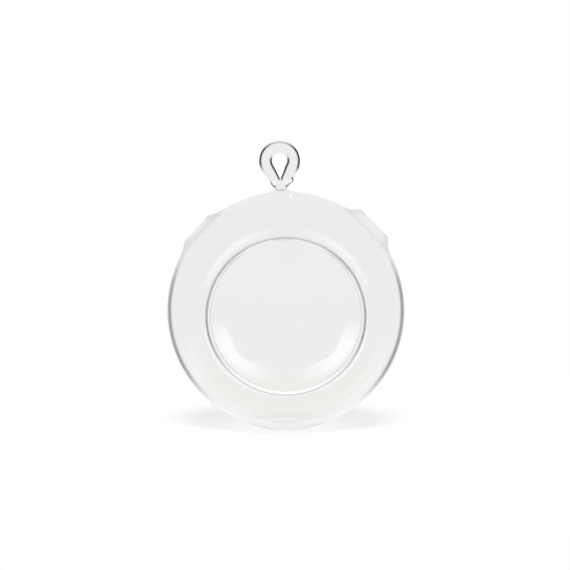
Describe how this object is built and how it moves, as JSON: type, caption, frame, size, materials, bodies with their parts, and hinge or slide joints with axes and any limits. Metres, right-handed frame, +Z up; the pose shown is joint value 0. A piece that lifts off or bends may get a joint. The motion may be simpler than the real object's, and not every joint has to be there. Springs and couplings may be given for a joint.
{
  "type": "propagation vase",
  "caption": "Clear blown-glass globe vase with a large round front opening, two small raised shoulder ports, a solid glass hanging loop and a small flat foot.",
  "frame": {"origin": "middle of the foot's flat face, where the vase stands", "axes": "+Z up through the globe, -Y out of the large front opening, +X towards the port that shows on the right from the front"},
  "size_m": [0.1, 0.0901, 0.1212],
  "materials": {
    "blown_glass": "clear, fire-polished, very slightly green where thick",
    "rod_glass": "clear, solid drawn rod, fire-polished"
  },
  "bodies": {
    "root": {"globe_shell": "blown_glass", "front_lip": "blown_glass", "left_port_lip": "blown_glass", "right_port_lip": "blown_glass", "foot": "blown_glass", "crown_neck": "blown_glass", "weld_bead": "rod_glass", "hanging_loop": "rod_glass"}
  },
  "joints": []
}
